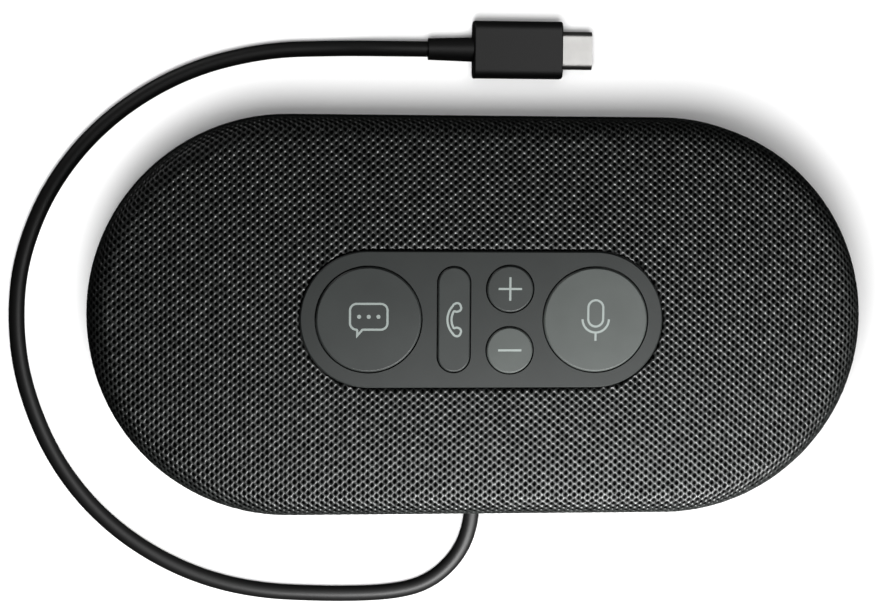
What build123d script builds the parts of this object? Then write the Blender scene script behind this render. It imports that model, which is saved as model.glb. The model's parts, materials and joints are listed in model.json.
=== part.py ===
from build123d import *
import os
from math import cos, pi, radians, sin, sqrt, tan

# Conference speakerphone, millimetres. X runs along its length, -Y is the front where the cord
# leaves, Z is up, and the origin is on the table under the middle of the housing.

# ---- driving dimensions ----
LENGTH = 165.0
WIDTH = 85.0
HEIGHT = 28.0
RIM_R = WIDTH / 2
SPINE = LENGTH / 2 - RIM_R  # half the straight line that the rounded ends are turned about

GAP = 0.1  # between parts that rest on each other
WALL = 1.8
FABRIC = 0.8

# crowned top
TOP_Z = HEIGHT - 0.3  # fabric and panel surface at the middle
CROWN_DROP = 2.0
FABRIC_R = 41.9
SHOULDER_R = 5.5
CROWN_R = (FABRIC_R**2 + CROWN_DROP**2) / (2 * CROWN_DROP)
FABRIC_FOOT_Z = 13.4
FRAME_FOOT_Z = 13.5
TRIM_Z = (12.6, 13.3)
TRIM_LIP = (0.5, 14.2)  # lip width, lip top

# drum, groove for winding the cord, and foot
FOOT_H = 1.35
FOOT_R = (14.0, 20.0)
BASE_Z = (0.8, 3.0)
BASE_R = 31.0
DRUM_R = 22.0
DRUM_WALL = 1.8
DRUM_Z = 3.1
DRUM_FLOOR_Z = 4.6
OVERHANG_Z = 8.6
SHELL_TOP_Z = 12.5

# control panel
PANEL_SPINE = 23.7
PANEL_R = 14.2
PANEL_T = 1.8
PANEL_Z = TOP_Z - PANEL_T
WELL_WALL = 1.3
LEDGE_R = 12.3
LEDGE_Z = (24.3, PANEL_Z - 0.05)
KEY_GAP = 0.3
KEY_TRAVEL = 0.5
KEY_EDGE_Z = TOP_Z
FLANGE_W = 0.6
FLANGE_Z = (PANEL_Z - 1.0, PANEL_Z - 0.3)
BIG_KEY_R = 10.9
SMALL_KEY_R = 4.8
SMALL_KEY_X = 5.7
SMALL_KEY_Y = 6.4
PILL_X = -6.0
PILL_SIZE = (6.6, 21.8)
PANEL_BOSSES = [(-12.4, 10.5), (-12.4, -10.5), (13.0, 10.5), (13.0, -10.5)]
ICON_STROKE = 0.45
ICON_DEPTH = 0.5
MAT_Z = (23.1, 23.7)
MAT_BUMP_Z = FLANGE_Z[0] - KEY_TRAVEL - 0.2
KEY_BOARD_Z = (21.3, 22.5)
BOARD_R = 12.0

# screws
FRAME_SCREWS = [(x, y) for x in (-38.0, 38.0) for y in (-15.0, 15.0)]
FRAME_SCREWS += [(x, y) for x in (-13.0, 13.0) for y in (-16.5, 16.5)]
BASE_SCREWS = [(x, y) for x in (-25.0, 25.0) for y in (-17.0, 17.0)]
BASE_SCREWS += [(-57.0, 0.0), (57.0, 0.0)]
BOARD_SCREWS = [(x, y) for x in (-26.5, 26.5) for y in (-9.5, 9.5)]
MAIN_BOARD = (60.0, 26.0, 14.0, 15.2)  # length, width, bottom, top

# loudspeaker at +X and passive radiator at -X
DRIVER_X = 57.0
CHASSIS_Z = (20.9, 22.0)
CHASSIS_R = (14.6, 17.5)
CONE_R = 12.8
ROLL_R = 15.5  # outer edge of the rubber roll round the cone
SEAT_R = 15.7  # the frame seats the chassis outside the roll
LUG_R = 19.2
LUG_ANGLES = (45, 135, 225, 315)
CONE_TOP_Z = 21.97
CONE_NECK = (5.0, 16.5)  # radius and height where the cone joins the coil
BASKET_FLOOR_Z = (14.35, 15.15)
BASKET_FLOOR_R = (5.6, 9.6)
MAGNET_R = (5.6, 8.2)
MAGNET_Z = (11.55, 13.2)
YOKE_R = 8.4
POLE_R = 4.2
COIL_R = (4.55, 4.95)

# microphones under the crown
MICROPHONES = [(x, y) for x in (-28.0, 28.0) for y in (-30.0, 30.0)]

# cord and plug
CORD_D = 3.4
CORD_EXIT = (0.0, -30.0, 5.9)
CORD_LIE_Z = CORD_D / 2
PLUG_Y = 57.0
PLUG_Z = 3.1
PLUG_BOOT_X = -9.7
PLUG_BOOT_R = (2.35, 2.65)
OVERMOULD_X = (0.1, 19.5)
OVERMOULD_SIZE = (12.4, 6.2)
OVERMOULD_CORNER = 1.9
SHELL_SIZE = (8.25, 2.4, 6.65)  # width, height and reach of a USB-C plug's shell
SHELL_WALL = 0.3
CONTACT_PITCH = 0.5
# Down from the drum to the table, round the left end and back along the rear edge to the plug.
CORD_ROUTE = [
    CORD_EXIT,
    (0.3, -38.2, 5.9),
    (0.7, -46.8, 3.0),
    (-1.9, -54.4, CORD_LIE_Z),
    (-8.0, -60.3, CORD_LIE_Z),
    (-16.0, -62.7, CORD_LIE_Z),
    (-30.1, -63.0, CORD_LIE_Z),
    (-48.8, -61.9, CORD_LIE_Z),
    (-64.9, -56.6, CORD_LIE_Z),
    (-79.4, -46.8, CORD_LIE_Z),
    (-90.3, -33.4, CORD_LIE_Z),
    (-96.9, -17.1, CORD_LIE_Z),
    (-98.8, -2.5, CORD_LIE_Z),
    (-97.3, 12.0, CORD_LIE_Z),
    (-90.7, 27.7, CORD_LIE_Z),
    (-79.0, 41.5, CORD_LIE_Z),
    (-63.0, 51.6, CORD_LIE_Z),
    (-45.5, 56.4, CORD_LIE_Z),
    (-29.5, 57.0, CORD_LIE_Z),
    (-19.0, PLUG_Y, PLUG_Z),
    (PLUG_BOOT_X, PLUG_Y, PLUG_Z),
]

# The half plane that oval sections are drawn in: first coordinate outwards (-Y), second up.
SECTION = Plane(origin=(0, 0, 0), x_dir=(0, -1, 0), z_dir=(-1, 0, 0))

PARTS = {}


def keep(name, shape):
    """Files a finished piece under its node name."""
    PARTS[name] = shape


# ---- shared shapes ----
def oval(section):
    """Carries a (radius, height) section once round the oval outline."""
    placed = SECTION * section
    side = extrude(Pos(-SPINE, 0, 0) * placed, 2 * SPINE, dir=(1, 0, 0))
    end = revolve(Pos(SPINE, 0, 0) * placed, Axis((SPINE, 0, 0), (0, 0, 1)), 180)
    half = side + end
    return half + Rot(0, 0, 180) * half


def turned(section, x=0.0, y=0.0):
    """Turns a (radius, height) section about a vertical line."""
    return Pos(x, y, 0) * revolve(SECTION * section, Axis.Z, 360)


def band(r_in, r_out, z_low, z_high):
    """A rectangle of a section, from one radius to another."""
    return Pos((r_in + r_out) / 2, (z_low + z_high) / 2) * Rectangle(r_out - r_in, z_high - z_low)


def post(x, y, radius, z_low, z_high):
    """An upright cylinder between two heights."""
    return Pos(x, y, (z_low + z_high) / 2) * Cylinder(radius, z_high - z_low)


def block(x_range, y_range, z_range):
    """A box between three pairs of limits."""
    middle = [sum(pair) / 2 for pair in (x_range, y_range, z_range)]
    size = [pair[1] - pair[0] for pair in (x_range, y_range, z_range)]
    return Pos(*middle) * Box(*size)


def slab(outline, z_low, z_high):
    """A flat outline given height."""
    return Pos(0, 0, z_low) * extrude(outline, z_high - z_low)


def stadium(half_spine, radius):
    """A flat outline with two rounded ends, lying along X."""
    return SlotOverall(2 * (half_spine + radius), 2 * radius)


def screw(x, y, head_r, head_z, shank_r, tip_z):
    """A pan-head screw with a driver recess; the head lies on the side away from the tip."""
    body = post(x, y, head_r, *head_z)
    up = tip_z > head_z[1]
    shank = post(x, y, shank_r, head_z[1], tip_z) if up else post(x, y, shank_r, tip_z, head_z[0])
    depth = 0.6 * (head_z[1] - head_z[0])
    recess_z = (head_z[0], head_z[0] + depth) if up else (head_z[1] - depth, head_z[1])
    recess = slab(RegularPolygon(0.5 * head_r, 6), *recess_z)
    return body + shank - Pos(x, y, 0) * recess


def crown(inset, z_low):
    """Section under the crowned top, a stated distance inside the fabric's outer surface."""
    radius = CROWN_R - inset
    edge = FABRIC_R - inset
    middle_z = TOP_Z - CROWN_R
    start = (0, middle_z + radius)
    halfway = (edge / 2, middle_z + sqrt(radius**2 - (edge / 2) ** 2))
    shoulder = (edge, middle_z + sqrt(radius**2 - edge**2))
    top = ThreePointArc(start, halfway, shoulder)
    rest = Polyline(shoulder, (edge, z_low), (0, z_low), start)
    face = make_face([top, rest])
    corner = max(face.vertices(), key=lambda v: v.X + v.Y)
    return fillet(corner, SHOULDER_R - inset)


def crown_height(x, y, inset):
    """Height of the crown above a place, a stated distance inside the fabric's outer surface."""
    radius = sqrt(max(abs(x) - SPINE, 0.0) ** 2 + y**2)
    return TOP_Z - CROWN_R + sqrt((CROWN_R - inset) ** 2 - radius**2)


# ---- casing ----
def foot_ring():
    section = fillet(band(*FOOT_R, 0, FOOT_H).vertices().group_by(Axis.Y)[0], 0.5)
    return oval(section)


def base_plate():
    section = band(0, BASE_R, *BASE_Z)
    rim = [v for v in section.vertices() if v.X > 1]
    plate = oval(fillet(rim, 0.8))
    plate -= oval(band(FOOT_R[0] - GAP, FOOT_R[1] + GAP, BASE_Z[0], FOOT_H + 0.05))
    plate -= oval(band(0, 11.0, BASE_Z[0], BASE_Z[0] + 0.3))
    for x, y in BASE_SCREWS:
        plate -= post(x, y, 2.2, FOOT_H, 2.3)
        plate -= post(x, y, 1.3, 2.0, BASE_Z[1])
    notch_y = (-BASE_R - 1, -DRUM_R - 1.2)
    return plate - block((-5, 5), notch_y, (0, BASE_Z[1] + 1))


def bottom_shell():
    inner_r = DRUM_R - DRUM_WALL
    outline = Polyline(
        (0, DRUM_Z),
        (DRUM_R, DRUM_Z),
        (DRUM_R, OVERHANG_Z),
        (37.5, 9.4),
        (42.2, SHELL_TOP_Z),
        (39.0, SHELL_TOP_Z),
        (36.9, 11.0),
        (inner_r, 10.2),
        (inner_r, DRUM_FLOOR_Z),
        (0, DRUM_FLOOR_Z),
        (0, DRUM_Z),
    )
    section = make_face(outline)
    lower_edge = [v for v in section.vertices() if abs(v.X - 37.5) < 0.01]
    section = fillet(lower_edge, 5.0)
    root = [v for v in section.vertices() if abs(v.X - DRUM_R) < 0.01]
    section = fillet(root, 0.7)
    shell = oval(section)
    for x, y in FRAME_SCREWS:
        shell += post(x, y, 3.2, DRUM_FLOOR_Z, 7.1)
    for x, y in BASE_SCREWS:
        shell += post(x, y, 2.7, DRUM_FLOOR_Z, 9.0)
        shell -= post(x, y, 1.04, DRUM_Z, 8.5)
    for x, y in BOARD_SCREWS:
        shell += post(x, y, 2.5, DRUM_FLOOR_Z, MAIN_BOARD[2] - GAP)
        shell -= post(x, y, 0.84, 8.5, MAIN_BOARD[2])
    for x, y in FRAME_SCREWS:
        shell -= post(x, y, 2.2, DRUM_Z, 5.0)
        shell -= post(x, y, 1.3, 4.9, 7.1)
    exit_bore = Pos(0, -DRUM_R + 1, CORD_EXIT[2]) * Rot(90, 0, 0) * Cylinder(2.25, 3)
    return shell - exit_bore


def housing_gasket():
    return oval(band(39.35, 40.2, SHELL_TOP_Z + 0.05, FRAME_FOOT_Z - 0.05))


def trim_ring():
    section = band(40.4, RIM_R, *TRIM_Z) + band(RIM_R - TRIM_LIP[0], RIM_R, TRIM_Z[0], TRIM_LIP[1])
    outer = [v for v in section.vertices() if v.X > RIM_R - 0.01]
    return oval(fillet(outer, 0.2))


def lug_places(middle_x):
    """Screw places round a loudspeaker chassis."""
    return [
        (middle_x + LUG_R * cos(radians(a)), LUG_R * sin(radians(a))) for a in LUG_ANGLES
    ]


def top_frame():
    inset = FABRIC + GAP
    section = crown(inset, FRAME_FOOT_Z) - crown(inset + WALL, FRAME_FOOT_Z - 1)
    frame = oval(section)
    well = slab(stadium(PANEL_SPINE, PANEL_R + WELL_WALL), LEDGE_Z[0], TOP_Z - 1.2)
    frame += well
    frame -= slab(stadium(PANEL_SPINE, PANEL_R + GAP), LEDGE_Z[1], TOP_Z + 1)
    frame -= slab(stadium(PANEL_SPINE, LEDGE_R), LEDGE_Z[0] - 1, TOP_Z + 1)
    for x, y in FRAME_SCREWS:
        # each boss stops under the crown
        frame += post(x, y, 2.7, 7.2, crown_height(x, y, inset + WALL) + 0.5)
        frame -= post(x, y, 1.18, 7.2, 15.0)
    for middle_x in (-DRIVER_X, DRIVER_X):
        seat = Pos(middle_x, 0) * (Circle(17.6) - Circle(SEAT_R))
        frame += slab(seat, CHASSIS_Z[1] + 0.8, 24.6) & oval(crown(inset + 0.2, 12))
        for x, y in lug_places(middle_x):
            frame += post(x, y, 1.9, CHASSIS_Z[1] + 0.05, crown_height(x, y, inset + WALL) + 0.5)
            frame -= post(x, y, 0.82, CHASSIS_Z[1], CHASSIS_Z[1] + 1.5)
        # sound slots over the moving cone
        for step in range(-3, 4):
            offset = 3.4 * step
            half = sqrt(12.6**2 - offset**2)
            slot = Pos(middle_x + offset, 0) * Rot(0, 0, 90) * SlotOverall(2 * half, 1.9)
            frame -= slab(slot, CHASSIS_Z[1] + 1, TOP_Z + 1)
    for x, y in MICROPHONES:
        frame -= post(x, y, 0.6, 20, TOP_Z + 1)
    return frame


def fabric_cover():
    section = crown(0, FABRIC_FOOT_Z) - crown(FABRIC, FABRIC_FOOT_Z - 1)
    cover = oval(section)
    return cover - slab(stadium(PANEL_SPINE, PANEL_R + GAP), 20, TOP_Z + 1)


def casing():
    keep("foot_ring", foot_ring())
    keep("base_plate", base_plate())
    keep("bottom_shell", bottom_shell())
    keep("housing_gasket", housing_gasket())
    keep("trim_ring", trim_ring())
    keep("top_frame", top_frame())
    keep("fabric_cover", fabric_cover())
    heads = [screw(x, y, 2.0, (1.4, 2.25), 1.0, 8.0) for x, y in BASE_SCREWS]
    keep("base_screws", Compound(children=heads))
    heads = [screw(x, y, 2.0, (3.4, 4.9), 1.15, 14.0) for x, y in FRAME_SCREWS]
    keep("frame_screws", Compound(children=heads))


# ---- control panel ----
def big_key_outline(grow=0.0):
    return Circle(BIG_KEY_R + grow)


def small_key_outline(grow=0.0):
    return Circle(SMALL_KEY_R + grow)


def pill_outline(grow=0.0):
    return Rot(0, 0, 90) * SlotOverall(PILL_SIZE[1] + 2 * grow, PILL_SIZE[0] + 2 * grow)


KEYS = {
    "call": (big_key_outline, (-PANEL_SPINE, 0.0), 0.3),
    "answer": (pill_outline, (PILL_X, 0.0), 0.25),
    "volume_up": (small_key_outline, (SMALL_KEY_X, SMALL_KEY_Y), 0.25),
    "volume_down": (small_key_outline, (SMALL_KEY_X, -SMALL_KEY_Y), 0.25),
    "mute": (big_key_outline, (PANEL_SPINE, 0.0), 0.3),
}


def stroke(outline):
    """Keeps only a line of the icon's width along the inside of an outline."""
    return outline - offset(outline, amount=-ICON_STROKE)


def call_icon():
    """A speech bubble with three dots."""
    bubble = RectangleRounded(8.2, 5.8, 1.6)
    tail = make_face(Polyline((-2.6, -2.0), (-0.4, -2.0), (-2.6, -4.5), (-2.6, -2.0)))
    icon = Pos(0, 0.6) * stroke(bubble + tail)
    for x in (-2.0, 0.0, 2.0):
        icon += Pos(x, 0.6) * Circle(0.42)
    return icon


def answer_icon():
    """A telephone handset standing on end, open to the right."""
    back = Circle(4.5) - Circle(3.2)
    wedge = make_face(Polyline((0, 0), (-5, 5.4), (-5, -5.4), (0, 0)))
    handset = Pos(2.9, 0) * (back & wedge)
    for side in (-1, 1):
        handset += Pos(0.6, 2.55 * side) * Rot(0, 0, 20 * side) * RectangleRounded(2.1, 2.2, 0.95)
    return stroke(handset)


def plus_icon():
    return Rectangle(4.9, ICON_STROKE) + Rectangle(ICON_STROKE, 4.9)


def minus_icon():
    return Rectangle(4.9, ICON_STROKE)


def mute_icon():
    """A microphone capsule in its cradle."""
    capsule = Pos(0, 1.33) * Rot(0, 0, 90) * stroke(SlotOverall(5.95, 3.6))
    ring = Circle(3.0) - Circle(3.0 - ICON_STROKE)
    cradle = Pos(0, 0.1) * (ring & Pos(0, -2) * Rectangle(8, 4))
    stem = Pos(0, -3.6) * Rectangle(ICON_STROKE, 1.6)
    return capsule + cradle + stem


ICONS = {
    "call": call_icon,
    "answer": answer_icon,
    "volume_up": plus_icon,
    "volume_down": minus_icon,
    "mute": mute_icon,
}


def key_blank(outline, rise):
    """A key cap with a softened edge and a slight crown, and the flange that holds it in."""
    cap = slab(outline(), FLANGE_Z[1] - 0.1, KEY_EDGE_Z + rise)
    top_edges = cap.edges().filter_by(lambda e: e.center().Z > KEY_EDGE_Z)
    cap = chamfer(top_edges, rise)
    crest = cap.edges().filter_by(lambda e: e.center().Z > KEY_EDGE_Z + rise / 2)
    cap = fillet(crest, rise * 0.4)
    return cap + slab(outline(FLANGE_W), *FLANGE_Z)


def keys():
    for name, (outline, place, rise) in KEYS.items():
        blank = Pos(*place, 0) * key_blank(outline, rise)
        icon = Pos(*place, 0) * slab(ICONS[name](), KEY_EDGE_Z - ICON_DEPTH, HEIGHT + 1)
        keep(f"{name}_key", blank - icon)
        keep(f"{name}_icon", blank & icon)


def panel_bezel():
    plate = slab(stadium(PANEL_SPINE, PANEL_R), PANEL_Z, TOP_Z)
    plate = chamfer(plate.edges().group_by(Axis.Z)[-1], 0.25)
    for outline, place, _ in KEYS.values():
        opening = slab(outline(KEY_GAP), PANEL_Z - 1, TOP_Z + 1)
        plate -= Pos(*place, 0) * opening
    for x, y in PANEL_BOSSES:
        plate += post(x, y, 1.6, KEY_BOARD_Z[1] + 0.05, PANEL_Z)
        plate -= post(x, y, 0.72, KEY_BOARD_Z[1], PANEL_Z - 0.2)
    return plate


def key_mat():
    mat = slab(stadium(PANEL_SPINE, BOARD_R + 0.8), *MAT_Z)
    for _, (x, y), _ in KEYS.values():
        mat += post(x, y, 2.6, MAT_Z[1], MAT_BUMP_Z)
        mat -= post(x, y, 2.9, MAT_Z[0], MAT_Z[0] + 0.2)
    for x, y in PANEL_BOSSES:
        mat -= post(x, y, 1.9, MAT_Z[0], MAT_Z[1])
    return mat


def key_dome(x, y):
    """A snap dome: a thin spherical cap on the board."""
    base = KEY_BOARD_Z[1]
    cap = Pos(x, y, base + 0.45 - 10.0) * Sphere(10.0)
    cap &= post(x, y, 2.5, base + 0.02, base + 1)
    return cap - Pos(x, y, base + 0.45 - 10.1) * Sphere(10.0)


def control_panel():
    keep("panel_bezel", panel_bezel())
    keys()
    keep("key_mat", key_mat())
    keep("key_domes", Compound(children=[key_dome(*place) for _, place, _ in KEYS.values()]))
    leds = []
    for _, (x, y), _ in KEYS.values():
        leds.append(block((x + 3.1, x + 3.9), (y - 0.4, y + 0.4), (22.52, 22.95)))
    keep("key_leds", Compound(children=leds))
    board = slab(stadium(PANEL_SPINE, BOARD_R), *KEY_BOARD_Z)
    for x, y in PANEL_BOSSES:
        board -= post(x, y, 0.9, *KEY_BOARD_Z)
    keep("key_board", board)
    z = KEY_BOARD_Z[0] - 0.05
    screws = [screw(x, y, 1.4, (z - 0.8, z), 0.7, 25.0) for x, y in PANEL_BOSSES]
    keep("panel_screws", Compound(children=screws))
    # The ribbon hangs from the key board, folds once and plugs in on top of the main board.
    ribbon = block((-22, -15), (-4, 4), (KEY_BOARD_Z[0] - 0.35, KEY_BOARD_Z[0] - 0.1))
    ribbon += block((-15.2, -14.95), (-4, 4), (17.2, KEY_BOARD_Z[0] - 0.1))
    ribbon += block((-20, -14.95), (-4, 4), (17.0, 17.25))
    keep("key_ribbon", ribbon)


# ---- electronics ----
CHIPS = [
    (-4.0, 3.0, 9.0, 9.0, 1.0),
    (9.0, 4.5, 6.0, 6.0, 0.9),
    (19.0, 2.0, 5.0, 5.0, 0.9),
    (-14.0, -8.0, 4.0, 3.0, 0.8),
    (6.0, -7.0, 3.2, 2.5, 1.1),
    (14.0, -7.0, 5.0, 5.0, 2.6),
    (-20.0, 0.0, 4.0, 9.0, 1.6),
]


def electronics():
    length, width, low, high = MAIN_BOARD
    board = block((-length / 2, length / 2), (-width / 2, width / 2), (low, high))
    for x, y in BOARD_SCREWS:
        board -= post(x, y, 1.1, low, high)
    keep("main_board", board)
    top = high + 0.02
    chips = []
    for x, y, dx, dy, dz in CHIPS:
        chips.append(block((x - dx / 2, x + dx / 2), (y - dy / 2, y + dy / 2), (top, top + dz)))
    keep("main_board_chips", Compound(children=chips))
    screws = [screw(x, y, 1.8, (high + 0.05, high + 1.1), 0.8, 9.0) for x, y in BOARD_SCREWS]
    keep("board_screws", Compound(children=screws))
    boots, mics = [], []
    for x, y in MICROPHONES:
        roof = crown_height(x, y, FABRIC + GAP + WALL) - 0.45
        boot = post(x, y, 3.1, 20.2, roof)
        boot -= post(x, y, 2.55, 20.2, 21.4)
        boots.append(boot - post(x, y, 0.6, 21, roof))
        can = post(x, y, 2.45, 20.7, 21.3)
        mics.append(can + block((x - 1.6, x + 1.6), (y - 1.2, y + 1.2), (19.6, 20.7)))
    keep("microphone_boots", Compound(children=boots))
    keep("microphones", Compound(children=mics))
    header = block((-4.5, 4.5), (-6.5, -1.5), (11.3, low - 0.05))
    keep("cord_connector", header)
    leads = []
    for y in (-2.2, 2.2):
        path = FilletPolyline((28.0, y, 15.8), (36.0, y, 15.8), (41.6, y, 19.6), radius=3.0)
        leads.append(sweep(Plane(path @ 0, z_dir=path % 0) * Circle(0.45), path))
    keep("driver_leads", Compound(children=leads))


# ---- loudspeaker and passive radiator ----
def chassis_ring(middle_x):
    """The flat ring with four screw lugs that both transducers hang from."""
    outline = Circle(CHASSIS_R[1])
    for angle in LUG_ANGLES:
        reach = Rot(0, 0, angle) * Pos(LUG_R / 2, 0) * Rectangle(LUG_R, 3.6)
        outline += reach + Rot(0, 0, angle) * Pos(LUG_R, 0) * Circle(1.8)
    outline -= Circle(CHASSIS_R[0])
    for angle in LUG_ANGLES:
        outline -= Rot(0, 0, angle) * Pos(LUG_R, 0) * Circle(0.95)
    return Pos(middle_x, 0, 0) * slab(outline, *CHASSIS_Z)


def surround(middle_x):
    """A half-roll rubber edge between the chassis and the moving cone."""
    thickness = 0.28
    low = CHASSIS_Z[1] + 0.02
    roll_r = (ROLL_R - CONE_R) / 2
    roll = Circle(roll_r + 0.02) - Circle(roll_r - thickness)
    roll = Pos(CONE_R + roll_r, low) * (roll & Pos(0, 1) * Rectangle(4, 2))
    outer_lip = band(ROLL_R - 0.05, 17.2, low, low + thickness)
    inner_lip = band(CONE_R - 0.7, CONE_R + 0.05, low, low + thickness)
    return turned(roll + outer_lip + inner_lip, middle_x)


def chassis_screws(middle_x):
    head_z = (CHASSIS_Z[0] - 1.0, CHASSIS_Z[0] - 0.05)
    found = [screw(x, y, 1.6, head_z, 0.8, 23.3) for x, y in lug_places(middle_x)]
    return Compound(children=found)


def chassis_gasket(middle_x):
    return turned(band(SEAT_R + GAP, 17.2, CHASSIS_Z[1] + 0.35, CHASSIS_Z[1] + 0.75), middle_x)


def driver_basket():
    """A bowl with four windows under the chassis ring."""
    floor_low, floor_high = BASKET_FLOOR_Z
    floor_in, floor_out = BASKET_FLOOR_R
    rim = CHASSIS_R[0]
    outline = Polyline(
        (rim, 21.0),
        (rim + 1, 21.0),
        (floor_out, floor_low),
        (floor_in, floor_low),
        (floor_in, floor_high),
        (floor_out - 1, floor_high),
        (rim, 21.0),
    )
    basket = turned(make_face(outline), DRIVER_X) + chassis_ring(DRIVER_X)
    for angle in (0, 90, 180, 270):
        window = Rot(0, 0, angle) * block((9.8, 16.2), (-4.0, 4.0), (16.2, 20.0))
        basket -= Pos(DRIVER_X, 0, 0) * window
    return basket


def driver_cone():
    neck_r, neck_z = CONE_NECK
    outline = Polyline(
        (neck_r, neck_z),
        (neck_r + 0.6, neck_z),
        (CONE_R, CONE_TOP_Z - 0.37),
        (CONE_R, CONE_TOP_Z),
        (CONE_R - 0.6, CONE_TOP_Z),
        (neck_r, neck_z + 0.5),
        (neck_r, neck_z),
    )
    return turned(make_face(outline), DRIVER_X)


def driver_dust_cap():
    top, rim_low, rim_r = 18.9, 17.35, 5.4
    arc = ThreePointArc((0, top), (3.0, 18.4), (rim_r, rim_low))
    sides = Polyline((rim_r, rim_low), (0, rim_low), (0, top))
    return turned(make_face([arc, sides]), DRIVER_X)


def loudspeaker():
    keep("driver_basket", driver_basket())
    yoke = band(0, YOKE_R, 10.5, 11.5) + band(0, POLE_R, 11.0, 14.3)
    keep("driver_yoke", turned(yoke, DRIVER_X))
    keep("driver_magnet", turned(band(*MAGNET_R, *MAGNET_Z), DRIVER_X))
    keep("driver_top_plate", turned(band(5.2, 8.6, MAGNET_Z[1] + 0.05, 14.3), DRIVER_X))
    keep("driver_coil", turned(band(*COIL_R, 12.9, 17.0), DRIVER_X))
    keep("driver_cone", driver_cone())
    keep("driver_dust_cap", driver_dust_cap())
    keep("driver_surround", surround(DRIVER_X))
    keep("driver_gasket", chassis_gasket(DRIVER_X))
    keep("driver_screws", chassis_screws(DRIVER_X))


def passive_radiator():
    keep("radiator_frame", chassis_ring(-DRIVER_X))
    plate = band(0, CONE_R, 20.9, CONE_TOP_Z) + band(0, 6.0, 18.6, 20.95)
    keep("radiator_plate", turned(plate, -DRIVER_X))
    keep("radiator_surround", surround(-DRIVER_X))
    keep("radiator_gasket", chassis_gasket(-DRIVER_X))
    keep("radiator_screws", chassis_screws(-DRIVER_X))


# ---- cord and plug ----
def along(path, outline):
    """Carries a flat outline along a path from its start."""
    return sweep(Plane(path @ 0, z_dir=path % 0) * outline, path)


def corner_radii(points):
    """For each corner, 0.45 of the shorter run beside it over the tangent of half the turn."""
    spots = [Vector(*p) for p in points]
    runs = [b - a for a, b in zip(spots, spots[1:])]
    radii = []
    for before, after in zip(runs, runs[1:]):
        half_turn = radians(before.get_angle(after)) / 2
        radii.append(0.45 * min(before.length, after.length) / tan(half_turn))
    return radii


def cord():
    radii = corner_radii(CORD_ROUTE)
    path = FilletPolyline(*CORD_ROUTE, radius=radii)
    tube = along(path, Circle(CORD_D / 2))
    ideal = pi * (CORD_D / 2) ** 2 * path.length
    print("cord radii", [round(r, 1) for r in radii])
    print("cord length", round(path.length, 1))
    print("cord volume", round(tube.volume), "section times length", round(ideal))
    return tube


def cord_boot():
    """The ribbed strain relief, pushed through the drum wall from inside."""
    forwards = Rot(90, 0, 0)
    base_y = -DRUM_R - 0.1
    length = base_y - CORD_EXIT[1]
    taper = Pos(0, base_y - length / 2, CORD_EXIT[2]) * forwards * Cone(2.4, 2.0, length)
    groove = Circle(3.0) - Circle(1.85)
    for step in range(3):
        y = base_y - 1.9 - 2.0 * step
        taper -= Pos(0, y, CORD_EXIT[2]) * forwards * extrude(groove, 0.7)
    neck = Pos(0, -DRUM_R + 1, CORD_EXIT[2]) * forwards * Cylinder(2.15, 2.6)
    flange_y = (-DRUM_R + DRUM_WALL + 0.1, -18.5)
    flange = block((-3, 3), flange_y, (DRUM_FLOOR_Z + 0.1, 8.3))
    return taper + neck + flange


def plug_contacts(from_x, to_x):
    """Two rows of twelve contacts on the faces of the plug's slot."""
    contacts = []
    for side in (-1, 1):
        for pitch in range(12):
            y = PLUG_Y + CONTACT_PITCH * (pitch - 5.5)
            z = PLUG_Z + side * 0.38
            contacts.append(block((from_x, to_x), (y - 0.12, y + 0.12), (z - 0.05, z + 0.05)))
    return Compound(children=contacts)


def plug():
    middle = Pos(0, PLUG_Y, PLUG_Z)
    across = Rot(0, 90, 0) * Rot(0, 0, 90)
    start, end = OVERMOULD_X
    boot_length = start - PLUG_BOOT_X
    boot = Rot(0, 90, 0) * Cone(*PLUG_BOOT_R, boot_length)
    keep("plug_boot", Pos(PLUG_BOOT_X + boot_length / 2, PLUG_Y, PLUG_Z) * boot)
    outline = RectangleRounded(*OVERMOULD_SIZE, OVERMOULD_CORNER)
    mould = middle * across * slab(outline, start, end)
    ends = mould.edges().group_by(Axis.X)
    keep("plug_overmould", fillet(ends[0] + ends[-1], 0.35))
    wide, high, reach = SHELL_SIZE
    tip_x = end + reach
    ring = SlotOverall(wide, high) - SlotOverall(wide - 2 * SHELL_WALL, high - 2 * SHELL_WALL)
    keep("plug_shell", middle * across * slab(ring, end, tip_x))
    # The insulator lines the shell and leaves the slot that the socket's tongue enters.
    lining_size = (wide - 2 * SHELL_WALL - 0.04, high - 2 * SHELL_WALL - 0.04)
    lining = SlotOverall(*lining_size) - SlotOverall(6.9, 0.9)
    core = slab(SlotOverall(*lining_size), end, end + 0.6)
    core += slab(lining, end + 0.5, tip_x - 0.25)
    keep("plug_insulator", middle * across * core)
    keep("plug_contacts", plug_contacts(end + 0.7, tip_x - 0.9))


def cable():
    keep("cord_boot", cord_boot())
    keep("cord", cord())
    inner = FilletPolyline((0, -18.45, 5.9), (0, -4.0, 5.9), (0, -4.0, 11.25), radius=4.0)
    keep("cord_tail", along(inner, Circle(1.2)))
    clamp = block((-6.5, 6.5), (-14.5, -10.5), (DRUM_FLOOR_Z + 0.05, 8.0))
    # an arch over the cord, open towards the floor
    clamp -= Pos(0, -12.5, CORD_EXIT[2]) * Rot(90, 0, 0) * Cylinder(1.3, 6)
    clamp -= block((-1.3, 1.3), (-16.0, -9.0), (DRUM_FLOOR_Z, CORD_EXIT[2]))
    screws = []
    for x in (-4.5, 4.5):
        clamp -= post(x, -12.5, 1.0, DRUM_FLOOR_Z, 9)
        screws.append(screw(x, -12.5, 1.6, (8.05, 9.0), 0.9, DRUM_FLOOR_Z + 0.1))
    keep("cord_clamp", clamp)
    keep("clamp_screws", Compound(children=screws))
    plug()


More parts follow.
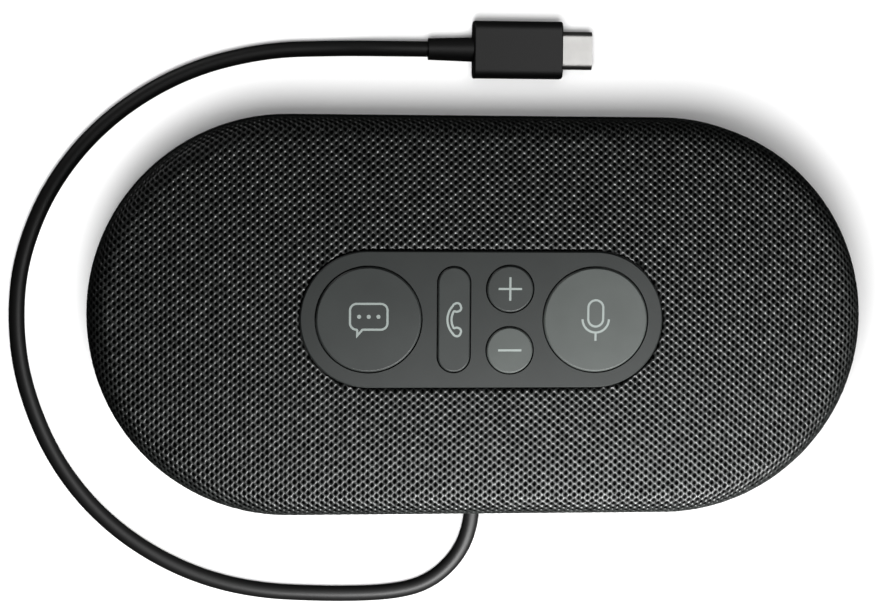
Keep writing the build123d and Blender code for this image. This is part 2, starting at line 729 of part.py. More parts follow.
def build():
    casing()
    control_panel()
    electronics()
    loudspeaker()
    passive_radiator()
    cable()
    os.makedirs("parts", exist_ok=True)
    for name, shape in PARTS.items():
        export_step(shape, f"parts/{name}.step")
    print(len(PARTS), "parts")


build()
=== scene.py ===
"""Looks of an oval desk speakerphone: knitted cover, flush key panel, captive cord and its plug."""

import json
import math
import random

import bmesh
import bpy
from bpy.props import FloatProperty, FloatVectorProperty, PointerProperty, StringProperty
from mathutils import Matrix, Vector


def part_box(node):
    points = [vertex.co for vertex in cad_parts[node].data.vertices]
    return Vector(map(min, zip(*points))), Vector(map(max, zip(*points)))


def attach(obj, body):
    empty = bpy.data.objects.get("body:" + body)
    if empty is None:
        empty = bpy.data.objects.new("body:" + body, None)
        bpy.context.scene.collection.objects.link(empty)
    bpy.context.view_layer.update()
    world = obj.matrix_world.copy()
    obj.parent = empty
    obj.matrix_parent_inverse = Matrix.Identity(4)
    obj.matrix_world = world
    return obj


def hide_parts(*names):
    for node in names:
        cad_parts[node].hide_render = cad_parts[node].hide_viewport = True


bl_info = {
    "name": "Desk Speakerphone",
    "version": (1, 0, 0),
    "blender": (4, 5, 0),
    "location": "3D View > Sidebar > Speakerphone",
    "description": "Makes the knitted cover, the cord and the finishes of a desk speakerphone",
    "category": "Add Mesh",
}

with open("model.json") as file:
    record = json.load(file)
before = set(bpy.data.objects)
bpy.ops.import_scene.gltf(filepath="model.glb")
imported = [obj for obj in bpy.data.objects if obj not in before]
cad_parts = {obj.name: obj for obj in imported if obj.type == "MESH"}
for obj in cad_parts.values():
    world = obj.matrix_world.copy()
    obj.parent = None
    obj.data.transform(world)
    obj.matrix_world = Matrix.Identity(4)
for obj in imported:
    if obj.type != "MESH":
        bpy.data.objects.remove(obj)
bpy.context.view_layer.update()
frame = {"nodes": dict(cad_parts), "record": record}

MM = 0.001
COVER_LOW, COVER_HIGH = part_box("fabric_cover")
PANEL_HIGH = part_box("panel_bezel")[1]

PLUG_PIECES = ("plug_boot", "plug_overmould", "plug_shell", "plug_insulator", "plug_contacts")

# the height of the cord's middle where it lies on the table: half its thickness
LIE = 1.7 * MM
# down from the drum, out past the rim, round the left end and to the plug
CORD_ROUTE = [
    (0.0, -0.0300, 0.0059),
    (0.0003, -0.0382, 0.0059),
    (0.0007, -0.0468, 0.0030),
    (-0.0019, -0.0544, LIE),
    (-0.0080, -0.0603, LIE),
    (-0.0160, -0.0627, LIE),
    (-0.0301, -0.0630, LIE),
    (-0.0488, -0.0619, LIE),
    (-0.0649, -0.0566, LIE),
    (-0.0794, -0.0468, LIE),
    (-0.0903, -0.0334, LIE),
    (-0.0969, -0.0171, LIE),
    (-0.0988, -0.0025, LIE),
    (-0.0973, 0.0120, LIE),
    (-0.0907, 0.0277, LIE),
    (-0.0790, 0.0415, LIE),
    (-0.0630, 0.0516, LIE),
    (-0.0455, 0.0564, LIE),
    (-0.0295, 0.0570, LIE),
    (-0.0190, 0.0570, 0.0031),
    (-0.0097, 0.0570, 0.0031),
]

# how the cloth meets the panel: the gap left round it, where the tuck starts and how wide it is
PANEL_GAP = 0.15 * MM
TUCK_START = 0.35 * MM
TUCK_WIDTH = 0.6 * MM

# one mesh of the knit: how far its inner ring stands from its middle, as shares of the rim's reach
RING_ACROSS, RING_ALONG = 0.54, 0.70
# how deep the bar and the inner ring sink, as shares of the pit
BAR_SINK, RING_SINK = 0.1, 0.6
# how unevenly yarns lie: bar widths, wander along the row and openness of a mesh
BAR_WIDTHS = (0.8, 1.3)
WANDER = 0.07
OPENNESS = (0.88, 1.15)
# how far whole meshes run past the cloth's edge and under the panel's, in half rows
EDGE_SPARE, PANEL_SPARE = 0.3, 0.4
KNIT_SEED = 3

# the soft lights: where each stands, what it faces, and its two sides
KEY_AIM = (0.0, 0.0, 0.02)
RIGHT_CARD = ((0.22, -0.06, 0.38), (0.05, 0.0, 0.02), (0.16, 0.16))
REAR_LIGHT = ((-0.25, 0.35, 0.15), (0.0, 0.0, 0.01), (0.25, 0.20))
FLOOR_LIGHT = ((-0.038, -0.070, 0.31), (-0.038, -0.070, 0.0), (0.17, 0.17))
FLOOR_FILL = ((0.0, 0.1, 1.1), (0.0, 0.0, 0.0), (1.2, 1.2))
PLUG_CARD = ((0.085, 0.10, 0.40), (0.02, 0.057, 0.0), (0.24, 0.20))
SENSOR_MM = 36


# ---- settings a user would change ----
class SpeakerphoneSizes(bpy.types.PropertyGroup):
    """Sizes of the knitted cover and the cord."""

    column: FloatProperty(
        name="Mesh column", description="Distance between neighbouring columns of meshes",
        default=0.95 * MM, unit="LENGTH")
    row: FloatProperty(
        name="Mesh row", description="Height of one mesh of the knit",
        default=1.58 * MM, unit="LENGTH")
    knot: FloatProperty(
        name="Knot", description="Half the width of the bar where yarns of two columns cross",
        default=0.15 * MM, unit="LENGTH")
    pit: FloatProperty(
        name="Pit depth", description="How deep each mesh sinks between the yarns",
        default=0.42 * MM, unit="LENGTH")
    # the eyelet also sets how far the painted shade in each opening reaches
    eyelet: FloatVectorProperty(
        name="Eyelet", description="Half the width and height of the dark opening of a mesh",
        size=2, default=(0.40 * MM, 0.60 * MM), unit="LENGTH")
    tuck: FloatProperty(
        name="Tuck", description="How far the cloth is pushed down beside the panel",
        default=0.9 * MM, unit="LENGTH")
    crown_drop: FloatProperty(
        name="Crown drop", description="How far the cover falls from its middle to its rim",
        default=2.0 * MM, unit="LENGTH")
    shoulder: FloatProperty(
        name="Shoulder", description="Radius of the cover's rounded edge",
        default=5.5 * MM, unit="LENGTH")
    cord: FloatProperty(
        name="Cord", description="Diameter of the cord", default=3.4 * MM, unit="LENGTH")


class SpeakerphoneColours(bpy.types.PropertyGroup):
    """Colours of the surfaces that show, as sRGB hex, and how the yarn shines."""

    yarn: StringProperty(name="Yarn", description="Colour of the knitted yarn", default="#303231")
    yarn_roughness: FloatProperty(
        name="Yarn roughness", description="Roughness of the yarn", default=0.36, subtype="FACTOR")
    yarn_shine: FloatProperty(
        name="Yarn shine", description="Specular level of the yarn", default=0.85, subtype="FACTOR")
    panel: StringProperty(
        name="Panel", description="Colour of the control panel", default="#262928")
    key: StringProperty(name="Key", description="Colour of the keys", default="#313433")
    # painted highlight: a lighter copy of the key colour for the mute and lower volume keys
    painted_highlight_key: StringProperty(
        name="Pale key", description="Colour of the mute and lower volume keys", default="#494d4b")
    icon: StringProperty(name="Icon", description="Colour of the inlaid icons", default="#8b9390")
    casing: StringProperty(name="Casing", description="Colour of the casing", default="#1b1c1c")
    cord: StringProperty(name="Cord", description="Colour of the cord's jacket", default="#141414")
    plug: StringProperty(
        name="Plug", description="Colour of the plug's overmould", default="#0e0e0e")


class SpeakerphoneStage(bpy.types.PropertyGroup):
    """Camera and lights."""

    eye: FloatVectorProperty(
        name="Eye", description="Where the camera stands",
        default=(-0.0468, 0.0336, 0.4469), subtype="XYZ", unit="LENGTH")
    aim: FloatVectorProperty(
        name="Aim", description="What the camera looks at",
        default=(-0.00487, 0.00146, 0.0), subtype="XYZ", unit="LENGTH")
    roll: FloatProperty(
        name="Roll", description="Turn of the camera about its own line of sight",
        default=0.0077, unit="ROTATION")
    lens: FloatProperty(
        name="Lens", description="Focal length in millimetres", default=82.0, unit="CAMERA")
    key_place: FloatVectorProperty(
        name="Key light", description="Middle of the near softbox",
        default=(0.030, -0.098, 0.108), subtype="XYZ", unit="LENGTH")
    key_width: FloatProperty(
        name="Key width", description="Length of the near softbox", default=0.13, unit="LENGTH")
    key_depth: FloatProperty(
        name="Key depth", description="Depth of the near softbox", default=0.05, unit="LENGTH")
    key_power: FloatProperty(
        name="Key power", description="Power of the near softbox", default=0.46, unit="POWER")
    right_power: FloatProperty(
        name="Right card", description="Power of the card that the right side mirrors",
        default=0.42, unit="POWER")
    rear_power: FloatProperty(
        name="Rear light", description="Power of the low light behind", default=0.25, unit="POWER")
    floor_power: FloatProperty(
        name="Floor light", description="Power of the light that whitens the paper",
        default=1.6, unit="POWER")
    floor_fill: FloatProperty(
        name="Floor fill", description="Power of the broad light inside the paper's shadows",
        default=7.0, unit="POWER")
    card_power: FloatProperty(
        name="Plug card", description="Power of the card over the plug",
        default=0.29, unit="POWER")
    sky: FloatProperty(name="Sky", description="Brightness all round", default=0.02)


def sizes():
    return bpy.context.scene.speakerphone_sizes


def colours():
    return bpy.context.scene.speakerphone_colours


# ---- shared helpers ----
def hex_linear(text):
    """An sRGB hex colour as the linear values that shaders take."""
    parts = [int(text[i:i + 2], 16) / 255 for i in (1, 3, 5)]
    linear = [c / 12.92 if c <= 0.04045 else ((c + 0.055) / 1.055) ** 2.4 for c in parts]
    return (*linear, 1.0)


def add_node(material, kind, values=None, links=None, **settings):
    """Adds a shader node with its own settings, its sockets' constants and what feeds them."""
    node = material.node_tree.nodes.new(kind)
    for name, value in settings.items():
        setattr(node, name, value)
    for socket, value in (values or {}).items():
        node.inputs[socket].default_value = value
    for socket, source in (links or {}).items():
        material.node_tree.links.new(source, node.inputs[socket])
    return node


def principled(name, roughness, values=None):
    """A material with one Principled shader."""
    material = bpy.data.materials.new(name)
    material.use_nodes = True
    material.node_tree.nodes.clear()
    shader = add_node(
        material, "ShaderNodeBsdfPrincipled", {"Roughness": roughness, **(values or {})})
    add_node(material, "ShaderNodeOutputMaterial", links={"Surface": shader.outputs["BSDF"]})
    return material, shader


def noise_of(material, size_mm, detail):
    """Noise whose lumps are of a stated size, fixed to the piece."""
    place = add_node(material, "ShaderNodeTexCoord")
    return add_node(
        material, "ShaderNodeTexNoise", {"Scale": 1 / (size_mm * MM), "Detail": detail},
        {"Vector": place.outputs["Object"]})


def grain(material, shader, size_mm, depth_mm, strength=1.0):
    """Fine bumps of a stated size, as a mould or a sprayed coat leaves."""
    noise = noise_of(material, size_mm, 2.0)
    bump = add_node(
        material, "ShaderNodeBump", {"Strength": strength, "Distance": depth_mm * MM},
        {"Height": noise.outputs["Fac"]})
    material.node_tree.links.new(bump.outputs["Normal"], shader.inputs["Normal"])


def mottle(material, shader, colour, size_mm, spread):
    """Slight lightness changes over the surface, round a middle colour."""
    noise = noise_of(material, size_mm, 3.0)
    ramp = add_node(material, "ShaderNodeValToRGB", links={"Fac": noise.outputs["Fac"]})
    middle = hex_linear(colour)
    for element, share in zip(ramp.color_ramp.elements, (1 - spread, 1 + spread)):
        element.color = (*[min(1.0, c * share) for c in middle[:3]], 1.0)
    ramp.color_ramp.elements[0].position = 0.3
    ramp.color_ramp.elements[1].position = 0.7
    material.node_tree.links.new(ramp.outputs["Color"], shader.inputs["Base Color"])


def dress(obj, material):
    """Gives a piece one material all over."""
    obj.data.materials.clear()
    obj.data.materials.append(material)


def new_mesh_piece(name, vertices, faces):
    """A mesh object from its vertices and faces."""
    mesh = bpy.data.meshes.new(name)
    mesh.from_pydata(vertices, [], faces)
    mesh.update()
    obj = bpy.data.objects.new(name, mesh)
    bpy.context.scene.collection.objects.link(obj)
    return obj


# ---- the knitted cover ----
class Cover:
    """The form the knit is stretched over, and the way from flat cloth to that form."""

    def __init__(self):
        self.top = COVER_HIGH.z
        self.foot = COVER_LOW.z
        self.rim = COVER_HIGH.y
        self.spine = COVER_HIGH.x - self.rim
        drop, self.shoulder = sizes().crown_drop, sizes().shoulder
        self.crown_r = (self.rim ** 2 + drop ** 2) / (2 * drop)
        self.crown_z = self.top - self.crown_r
        self.turn_x = self.rim - self.shoulder
        inner_r = self.crown_r - self.shoulder
        self.turn_z = self.crown_z + math.sqrt(inner_r ** 2 - self.turn_x ** 2)
        self.start_angle = math.atan2(self.turn_z - self.crown_z, self.turn_x)
        self.crown_end = self.crown_r * math.cos(self.start_angle)
        self.shoulder_len = self.shoulder * self.start_angle
        self.reach = self.crown_end + self.shoulder_len + (self.turn_z - self.foot)
        self.panel_r = PANEL_HIGH.y + PANEL_GAP
        self.panel_spine = PANEL_HIGH.x - PANEL_HIGH.y

    def profile(self, s):
        """Radius, height and outward normal of the form, s along the cloth from its spine."""
        if s <= self.crown_end:
            up = math.sqrt(self.crown_r ** 2 - s ** 2)
            return s, self.crown_z + up, (s / self.crown_r, up / self.crown_r)
        if s <= self.crown_end + self.shoulder_len:
            angle = self.start_angle - (s - self.crown_end) / self.shoulder
            cos_a, sin_a = math.cos(angle), math.sin(angle)
            radius = self.turn_x + self.shoulder * cos_a
            return radius, self.turn_z + self.shoulder * sin_a, (cos_a, sin_a)
        below = s - self.crown_end - self.shoulder_len
        return self.rim, self.turn_z - below, (1.0, 0.0)

    def wrap(self, x, y, depth):
        """Where a point of the flat cloth lies when sunk a depth, and how far it is tucked in."""
        along = max(-self.panel_spine, min(self.panel_spine, x))
        hole = math.hypot(x - along, y)
        tucked = max(0.0, min(1.0, (self.panel_r + TUCK_START - hole) / TUCK_WIDTH))
        depth += tucked ** 2 * sizes().tuck
        if hole < self.panel_r:
            push = self.panel_r / max(hole, 1e-6)
            x, y = along + (x - along) * push, y * push
        along = max(-self.spine, min(self.spine, x))
        out = math.hypot(x - along, y)
        if out < 1e-9:
            return (x, y, self.top - depth), tucked
        radius, z, normal = self.profile(min(out, self.reach))
        radius -= normal[0] * depth
        place = (along + (x - along) / out * radius, y / out * radius, z - normal[1] * depth)
        return place, tucked


def knit(cover):
    """The knit's vertices and faces, and for its shader each point's tuck and place in its mesh.

    Columns of meshes run back to front and every other column stands half a mesh higher. Each mesh
    is a hexagon with a short bar above and below, where yarns cross, and four diagonal yarns
    between the bars.
    """
    column, half_row = sizes().column, sizes().row / 2
    knot, pit = sizes().knot, sizes().pit
    wide, high = sizes().eyelet
    columns = int((cover.spine + cover.reach) / column) + 2
    half_rows = int(cover.reach / half_row) + 2
    vertices, faces, tucks, cells, shared = [], [], [], [], {}
    chance = random.Random(KNIT_SEED)

    def vertex(x, y, share):
        place, tucked = cover.wrap(x, y, pit * share)
        vertices.append(place)
        tucks.append(tucked)
        return len(vertices) - 1

    def crossing(i, h, side):
        """One end of the bar in column i at half row h."""
        if (i, h, side) not in shared:
            x = i * column + side * knot * chance.uniform(*BAR_WIDTHS)
            y = h * half_row + WANDER * half_row * chance.uniform(-1, 1)
            shared[i, h, side] = x, y, vertex(x, y, BAR_SINK * chance.random())
        return shared[i, h, side]

    for i in range(-columns, columns + 1):
        for h in range(-half_rows, half_rows + 1):
            if (i + h) % 2:
                continue
            x, y = i * column, h * half_row
            along = max(-cover.spine, min(cover.spine, x))
            outside = math.hypot(x - along, y) > cover.reach + EDGE_SPARE * half_row
            along = max(-cover.panel_spine, min(cover.panel_spine, x))
            if outside or math.hypot(x - along, y) < cover.panel_r - PANEL_SPARE * half_row:
                continue
            rim = [
                crossing(i + 1, h, -1), crossing(i, h + 1, 1), crossing(i, h + 1, -1),
                crossing(i - 1, h, 1), crossing(i, h - 1, -1), crossing(i, h - 1, 1)]
            ring = []
            for rx, ry, _ in rim:
                wx, wy = x + RING_ACROSS * (rx - x), y + RING_ALONG * (ry - y)
                ring.append((wx, wy, vertex(wx, wy, RING_SINK)))
            middle = (x, y, vertex(x, y, 1.0))
            slack = chance.uniform(*OPENNESS)
            for k in range(6):
                after = (k + 1) % 6
                slope = (rim[k], rim[after], ring[after], ring[k])
                for corners in (slope, (ring[k], ring[after], middle)):
                    faces.append([index for _, _, index in corners])
                    cells += [
                        ((cx - x) / wide * slack, (cy - y) / high * slack) for cx, cy, _ in corners]
    return vertices, faces, tucks, cells


def knitted_polyester():
    """Warp-knitted polyester: dark lustrous yarns, a painted highlight on the bars and painted
    shade that makes the round openings black.
    """
    c = colours()
    material, shader = principled(
        "knitted_polyester", c.yarn_roughness, {"Specular IOR Level": c.yarn_shine})
    cell = add_node(material, "ShaderNodeUVMap", uv_map="cell")
    # painted shade in the opening of each mesh, black in its middle: distance 1 is its edge
    round_middle = add_node(
        material, "ShaderNodeVectorMath", links={0: cell.outputs["UV"]}, operation="LENGTH")
    opening = add_node(
        material, "ShaderNodeMapRange", {"From Min": 0.6, "From Max": 1.05},
        {"Value": round_middle.outputs["Value"]}, interpolation_type="SMOOTHSTEP")
    # distance from the nearest bar, above or beside the opening, in the same measure
    quarter = add_node(
        material, "ShaderNodeVectorMath", links={0: cell.outputs["UV"]}, operation="ABSOLUTE")
    wide, high = sizes().eyelet
    bars = []
    for middle in ((0, sizes().row / 2 / high, 0), (sizes().column / wide, 0, 0)):
        bars.append(add_node(
            material, "ShaderNodeVectorMath", {1: middle}, {0: quarter.outputs["Vector"]},
            operation="DISTANCE"))
    nearest = add_node(
        material, "ShaderNodeMath", links={k: bars[k].outputs["Value"] for k in (0, 1)},
        operation="MINIMUM")
    # painted highlight: the yarns are painted brightest at the bars where they cross, and darker
    # along the diagonals
    bar = add_node(
        material, "ShaderNodeMapRange",
        {"From Min": 0.4, "From Max": 1.3, "To Min": 1.0, "To Max": 0.45},
        {"Value": nearest.outputs["Value"]})
    # lighter and darker yarns, about a mesh across
    uneven = noise_of(material, 1.1, 2.0)
    spread = add_node(
        material, "ShaderNodeMapRange",
        {"From Min": 0.3, "From Max": 0.7, "To Min": 0.55, "To Max": 1.4},
        {"Value": uneven.outputs["Fac"]})
    # painted shade: the cloth tucked in beside the panel is darkened to black in its colour, as no
    # light falls there
    tuck = add_node(material, "ShaderNodeAttribute", attribute_name="tuck")
    painted_tuck_shade_factor = add_node(
        material, "ShaderNodeMapRange",
        {"From Min": 0.1, "From Max": 0.7, "To Min": 1.0, "To Max": 0.0},
        {"Value": tuck.outputs["Fac"]})
    # painted shade of the openings and of the tuck, painted highlight of the bars and the yarns'
    # own uneven tone, multiplied together
    light = opening.outputs["Result"]
    for factor in (bar, spread, painted_tuck_shade_factor):
        product = add_node(
            material, "ShaderNodeMath", links={0: light, 1: factor.outputs["Result"]},
            operation="MULTIPLY")
        light = product.outputs["Value"]
    tint = add_node(
        material, "ShaderNodeVectorMath", {0: hex_linear(c.yarn)[:3]}, {"Scale": light},
        operation="SCALE")
    material.node_tree.links.new(tint.outputs["Vector"], shader.inputs["Base Color"])
    # the same painted shade and painted highlight also scale the yarn's shine
    material.node_tree.links.new(light, shader.inputs["Specular Tint"])
    # round yarns, with filaments 0.05 mm thick drawn three times as coarse, so that they show
    filament = noise_of(material, 0.15, 2.0)
    strands = add_node(
        material, "ShaderNodeBump", {"Strength": 0.5, "Distance": 0.05 * MM},
        {"Height": filament.outputs["Fac"]})
    roundness = add_node(
        material, "ShaderNodeMapRange", {"From Min": 0.7, "From Max": 1.5},
        {"Value": round_middle.outputs["Value"]}, interpolation_type="SMOOTHSTEP")
    bump = add_node(
        material, "ShaderNodeBump", {"Strength": 1.0, "Distance": 0.04 * MM},
        {"Height": roundness.outputs["Result"], "Normal": strands.outputs["Normal"]})
    material.node_tree.links.new(bump.outputs["Normal"], shader.inputs["Normal"])
    return material


class SPEAKERPHONE_OT_cover(bpy.types.Operator):
    """Knits the cover over the crowned top and sides"""

    bl_idname = "speakerphone.cover"
    bl_label = "Knitted cover"

    def execute(self, context):
        cover = Cover()
        vertices, faces, tucks, cells = knit(cover)
        obj = new_mesh_piece("knit_cover", vertices, faces)
        obj.data.attributes.new("tuck", "FLOAT", "POINT").data.foreach_set("value", tucks)
        layer = obj.data.uv_layers.new(name="cell")
        layer.uv.foreach_set("vector", [value for pair in cells for value in pair])
        mesh = bmesh.new()
        mesh.from_mesh(obj.data)
        bmesh.ops.dissolve_degenerate(mesh, dist=0.01 * MM, edges=mesh.edges)
        bmesh.ops.recalc_face_normals(mesh, faces=mesh.faces)
        mesh.to_mesh(obj.data)
        mesh.free()
        for face in obj.data.polygons:
            face.use_smooth = True
        dress(obj, knitted_polyester())
        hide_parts("fabric_cover")
        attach(obj, "housing")
        return {"FINISHED"}


# ---- the cord ----
def elastomer(name, colour, roughness):
    """Thermoplastic elastomer, extruded or moulded: a dull satin skin with a soft broad shine."""
    material, shader = principled(name, roughness, {"Specular IOR Level": 0.45})
    grain(material, shader, 0.25, 0.02, 0.5)
    mottle(material, shader, colour, 6.0, 0.12)
    return material


class SPEAKERPHONE_OT_cord(bpy.types.Operator):
    """Lays the cord from the drum to the plug"""

    bl_idname = "speakerphone.cord"
    bl_label = "Cord"

    def execute(self, context):
        curve = bpy.data.curves.new("cord_jacket", "CURVE")
        curve.dimensions = "3D"
        spline = curve.splines.new("NURBS")
        spline.points.add(len(CORD_ROUTE) - 1)
        for point, place in zip(spline.points, CORD_ROUTE):
            point.co = (*place, 1.0)
        spline.order_u = 3
        spline.use_endpoint_u = True
        spline.resolution_u = 12
        curve.bevel_depth = sizes().cord / 2
        curve.bevel_resolution = 8
        curve.use_fill_caps = True
        obj = bpy.data.objects.new("cord_jacket", curve)
        context.scene.collection.objects.link(obj)
        curve.materials.append(elastomer("extruded_elastomer", colours().cord, 0.48))
        bpy.data.collections["plug_side"].objects.link(obj)
        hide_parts("cord")
        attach(obj, "housing")
        return {"FINISHED"}


# ---- finishes of the CAD pieces ----
def moulded(name, colour, roughness, grain_mm=0.25, depth_mm=0.02, spread=0.08):
    """Injection-moulded plastic: one colour with a spark-eroded grain that breaks up its shine."""
    material, shader = principled(name, roughness)
    grain(material, shader, grain_mm, depth_mm)
    mottle(material, shader, colour, 9.0, spread)
    return material


def plated(name, colour, roughness, grain_mm=0.3):
    """Plated metal: a bright coat over the faint texture of the rolled or stamped sheet."""
    material, shader = principled(name, roughness, {"Metallic": 1.0})
    grain(material, shader, grain_mm, 0.004, 0.4)
    mottle(material, shader, colour, 4.0, 0.06)
    return material


def finishes():
    """One material for each slot of the record, each with what its making gives the eye."""
    c = colours()
    return {
        # moulded silicone: black and dull, with no clear highlight
        "rubber_foot": elastomer("moulded_silicone", "#141414", 0.6),
        # ABS from a spark-eroded mould: coarse grain that kills the shine
        "base_plastic": moulded("textured_abs", c.casing, 0.55, 0.35, 0.04),
        # ABS from a fine mould: a soft line of light along the trim
        "trim_plastic": moulded("satin_abs", "#2c2e2d", 0.38, 0.3, 0.01),
        # plain ABS, not meant to be seen
        "inner_plastic": moulded("plain_abs", "#161616", 0.5),
        # polycarbonate under a soft-touch coat: even and nearly matt
        "panel_plastic": moulded("soft_touch_polycarbonate", c.panel, 0.44, 0.18, 0.012),
        # polycarbonate from a satin mould: a little smoother and lighter than the panel
        "key_plastic": moulded("satin_polycarbonate", c.key, 0.4, 0.18, 0.008),
        # translucent polycarbonate for a light behind: pale and smooth
        "icon_plastic": moulded(
            "translucent_polycarbonate", c.icon, 0.4, 0.4, 0.004, 0.03),
        # pressed silicone of the keypad: black in the gaps between the keys
        "silicone_mat": elastomer("keypad_silicone", "#080808", 0.6),
        # stamped spring steel: bright, with the faint texture of the rolled strip
        "spring_steel": plated("stamped_steel", "#b9b9b6", 0.3),
        # steel under black oxide: dark grey metal
        "screw_steel": plated("black_oxide_steel", "#3a3a3a", 0.4),
        # white epoxy body with yellow phosphor: creamy
        "led_package": moulded("white_diode_package", "#e8e2b8", 0.3),
        # solder mask over glass fibre: glossy green, faintly patchy
        "circuit_board": moulded("solder_mask", "#0d4a22", 0.35, 0.6, 0.01, 0.15),
        # filled epoxy of chip packages: dull black
        "chip_resin": moulded("moulded_epoxy", "#151515", 0.55),
        # polyimide film: smooth amber
        "ribbon_film": moulded("polyimide_film", "#b5722a", 0.3),
        # uncoloured nylon: waxy ivory
        "connector_nylon": moulded("natural_nylon", "#d8d2bf", 0.45),
        # extruded wire insulation: dark red and satin
        "wire_jacket": elastomer("wire_insulation", "#7c1512", 0.45),
        # zinc-plated steel: cool grey
        "motor_steel": plated("zinc_plated_steel", "#a3a5a8", 0.35),
        # nickel over a sintered magnet: warm and nearly mirror-bright
        "magnet_plating": plated("nickel_plate", "#bdbbb4", 0.2),
        # wound copper wire in clear enamel: orange metal, finely broken up
        "coil_copper": plated("enamelled_copper", "#b9683a", 0.3, 0.08),
        # pressed paper pulp: matt, coarse and uneven
        "cone_paper": moulded("pressed_pulp", "#1a1a1a", 0.8, 0.5, 0.06, 0.2),
        # butyl rubber: soft black
        "surround_rubber": elastomer("butyl_rubber", "#121212", 0.55),
        # anodised aluminium: mid-grey satin metal
        "radiator_plate": plated("anodised_aluminium", "#77797b", 0.4),
        # closed-cell foam: matt charcoal
        "seal_foam": elastomer("closed_cell_foam", "#232323", 0.9),
        # moulded elastomer of the strain reliefs: as the cord's jacket
        "cord_jacket": elastomer("moulded_elastomer", c.cord, 0.48),
        # overmoulded plastic: black with a low satin sheen
        "plug_plastic": moulded("satin_overmould", c.plug, 0.48, 0.3, 0.015),
        # nickel-plated drawn steel: pale, softly blurred
        "plug_steel": plated("nickel_plated_steel", "#bbbab8", 0.35),
        # liquid crystal polymer of the plug's tongue: dull black
        "connector_black": moulded("liquid_crystal_polymer", "#141414", 0.45),
        # gold over nickel: bright yellow metal
        "contact_gold": plated("gold_plate", "#e2b457", 0.25, 0.1),
    }


class SPEAKERPHONE_OT_finishes(bpy.types.Operator):
    """Gives every CAD piece its finish"""

    bl_idname = "speakerphone.finishes"
    bl_label = "Finishes"

    def execute(self, context):
        found = finishes()
        for part in frame["record"]["subparts"]:
            node = frame["nodes"][part["node"]]
            if part["material_slot"] in found:
                dress(node, found[part["material_slot"]])
        # a lighter copy of the key finish for the mute and lower volume keys: painted highlight for
        # the brighter shine these keys show
        pale = moulded("satin_polycarbonate_painted_highlight", colours().painted_highlight_key, 0.4, 0.18, 0.008)
        for name in ("mute_key", "volume_down_key"):
            dress(frame["nodes"][name], pale)
        return {"FINISHED"}


# ---- stage ----
def aim_at(obj, target, roll=0.0):
    """Turns a camera or light to look at a point."""
    ahead = Vector(target) - obj.location
    obj.rotation_mode = "QUATERNION"
    back = -ahead.normalized()
    right = Vector((0, 1, 0)).cross(back).normalized()
    up = back.cross(right)
    turn = Matrix((right, up, back)).transposed()
    obj.rotation_quaternion = (turn @ Matrix.Rotation(roll, 3, "Z")).to_quaternion()


def softbox(name, place, target, sides, power):
    """A rectangular soft light."""
    light = bpy.data.lights.new(name, "AREA")
    light.shape = "RECTANGLE"
    light.size, light.size_y = sides
    light.energy = power
    obj = bpy.data.objects.new(name, light)
    bpy.context.scene.collection.objects.link(obj)
    obj.location = place
    aim_at(obj, target)
    return obj


def add_camera(stage):
    """The camera, as the scene's own."""
    camera = bpy.data.cameras.new("camera")
    camera.lens = stage.lens
    camera.sensor_width = SENSOR_MM
    camera.clip_start, camera.clip_end = 0.01, 20
    seat = bpy.data.objects.new("camera", camera)
    bpy.context.scene.collection.objects.link(seat)
    seat.location = stage.eye
    aim_at(seat, stage.aim, stage.roll)
    bpy.context.scene.camera = seat


def add_floor():
    """Matt paper that throws no light back, so the foot of the housing and the plug stay dark."""
    bpy.ops.object.select_all(action="DESELECT")
    bpy.ops.mesh.primitive_plane_add(size=6.0, location=(0, 0, 0))
    floor = bpy.context.object
    floor.name = "floor"
    paper, shader = principled("matt_paper", 0.9, {"Specular IOR Level": 0.1})
    shader.inputs["Base Color"].default_value = hex_linear("#f2f2f2")
    dress(floor, paper)
    floor.visible_diffuse = floor.visible_glossy = False
    return floor


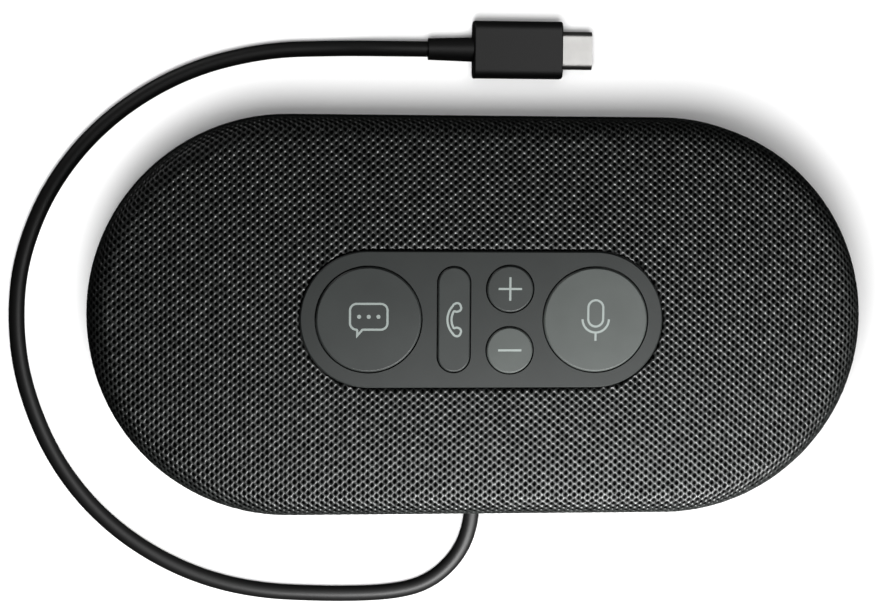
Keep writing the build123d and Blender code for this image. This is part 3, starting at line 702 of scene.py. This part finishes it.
def add_lights(stage, floor):
    """Lights for the object and others for the paper, which stays white round a dark object."""
    paper_only = bpy.data.collections.new("paper_only")
    all_but_paper = bpy.data.collections.new("all_but_paper")
    for group in (paper_only, all_but_paper):
        group.objects.link(floor)
    all_but_paper.collection_objects[0].light_linking.link_state = "EXCLUDE"
    key_sides = (stage.key_width, stage.key_depth)
    on_object = (
        softbox("key", stage.key_place, KEY_AIM, key_sides, stage.key_power),
        softbox("right_card", *RIGHT_CARD, stage.right_power),
        softbox("rear", *REAR_LIGHT, stage.rear_power))
    on_paper = (
        softbox("floor_front", *FLOOR_LIGHT, stage.floor_power),
        softbox("floor_wide", *FLOOR_FILL, stage.floor_fill))
    # a card over the plug, which lies beyond the near light's reach
    plug_side = bpy.data.collections.new("plug_side")
    for name in PLUG_PIECES:
        plug_side.objects.link(frame["nodes"][name])
    on_plug = (softbox("plug_card", *PLUG_CARD, stage.card_power),)
    for group, lights in (
            (all_but_paper, on_object), (paper_only, on_paper), (plug_side, on_plug)):
        for light in lights:
            light.light_linking.receiver_collection = group


def add_sky(strength):
    """A faint even light from all round."""
    world = bpy.data.worlds.new("studio")
    world.use_nodes = True
    background = world.node_tree.nodes["Background"]
    background.inputs["Strength"].default_value = strength
    background.inputs["Color"].default_value = (1, 1, 1, 1)
    bpy.context.scene.world = world


class SPEAKERPHONE_OT_stage(bpy.types.Operator):
    """Sets up the camera, the pale floor and the studio light"""

    bl_idname = "speakerphone.stage"
    bl_label = "Stage"

    def execute(self, context):
        stage = context.scene.speakerphone_stage
        add_camera(stage)
        add_lights(stage, add_floor())
        add_sky(stage.sky)
        context.scene.view_settings.view_transform = "Standard"
        return {"FINISHED"}


class SPEAKERPHONE_PT_panel(bpy.types.Panel):
    """Lists the settings and the steps that build the speakerphone"""

    bl_label = "Speakerphone"
    bl_idname = "SPEAKERPHONE_PT_panel"
    bl_space_type = "VIEW_3D"
    bl_region_type = "UI"
    bl_category = "Speakerphone"

    def draw(self, context):
        for name, kind in GROUPS.items():
            box = self.layout.box()
            for setting in kind.__annotations__:
                box.prop(getattr(context.scene, name), setting)
        for step in STEPS:
            self.layout.operator(step.bl_idname)


STEPS = (
    SPEAKERPHONE_OT_stage,
    SPEAKERPHONE_OT_cord,
    SPEAKERPHONE_OT_finishes,
    SPEAKERPHONE_OT_cover,
)
GROUPS = {
    "speakerphone_sizes": SpeakerphoneSizes,
    "speakerphone_colours": SpeakerphoneColours,
    "speakerphone_stage": SpeakerphoneStage,
}


def register():
    for kind in (*GROUPS.values(), *STEPS, SPEAKERPHONE_PT_panel):
        bpy.utils.register_class(kind)
    for name, kind in GROUPS.items():
        setattr(bpy.types.Scene, name, PointerProperty(type=kind))


def unregister():
    for name in GROUPS:
        delattr(bpy.types.Scene, name)
    for kind in reversed((*GROUPS.values(), *STEPS, SPEAKERPHONE_PT_panel)):
        bpy.utils.unregister_class(kind)


def main():
    register()
    for step in STEPS:
        group, name = step.bl_idname.split(".")
        getattr(getattr(bpy.ops, group), name)()


if __name__ == "__main__":
    main()
